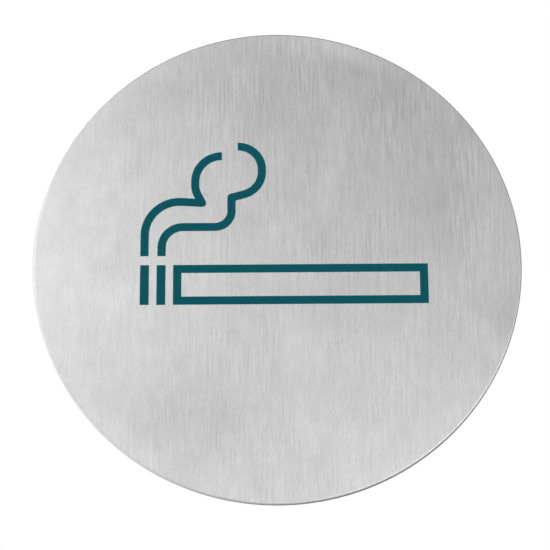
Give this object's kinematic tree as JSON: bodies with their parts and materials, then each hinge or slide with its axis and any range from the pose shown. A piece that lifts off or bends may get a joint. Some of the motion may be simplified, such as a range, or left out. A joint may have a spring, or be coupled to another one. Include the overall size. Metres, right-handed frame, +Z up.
{
  "type": "smoking area sign",
  "caption": "Round brushed steel wall sign with a printed cigarette and smoke pictogram and a self-adhesive back, marking a smoking area.",
  "frame": {"origin": "centre of the foam pad's back face, which lies against the wall", "axes": "+Z up, +X to the reader's right, +Y out of the back into the wall, so the face looks along -Y"},
  "size_m": [0.16, 0.0026, 0.16],
  "materials": {
    "steel": "brushed, grain up and down",
    "foam": "matt closed-cell foam with a tacky face",
    "ink": "matt printed ink"
  },
  "bodies": {
    "root": {"sign_plate": "steel", "adhesive_pad": "foam", "cigarette_outline": "ink", "ash_bar_outer": "ink", "ash_bar_inner": "ink", "smoke_line_outer": "ink", "smoke_line_inner": "ink"}
  },
  "joints": []
}
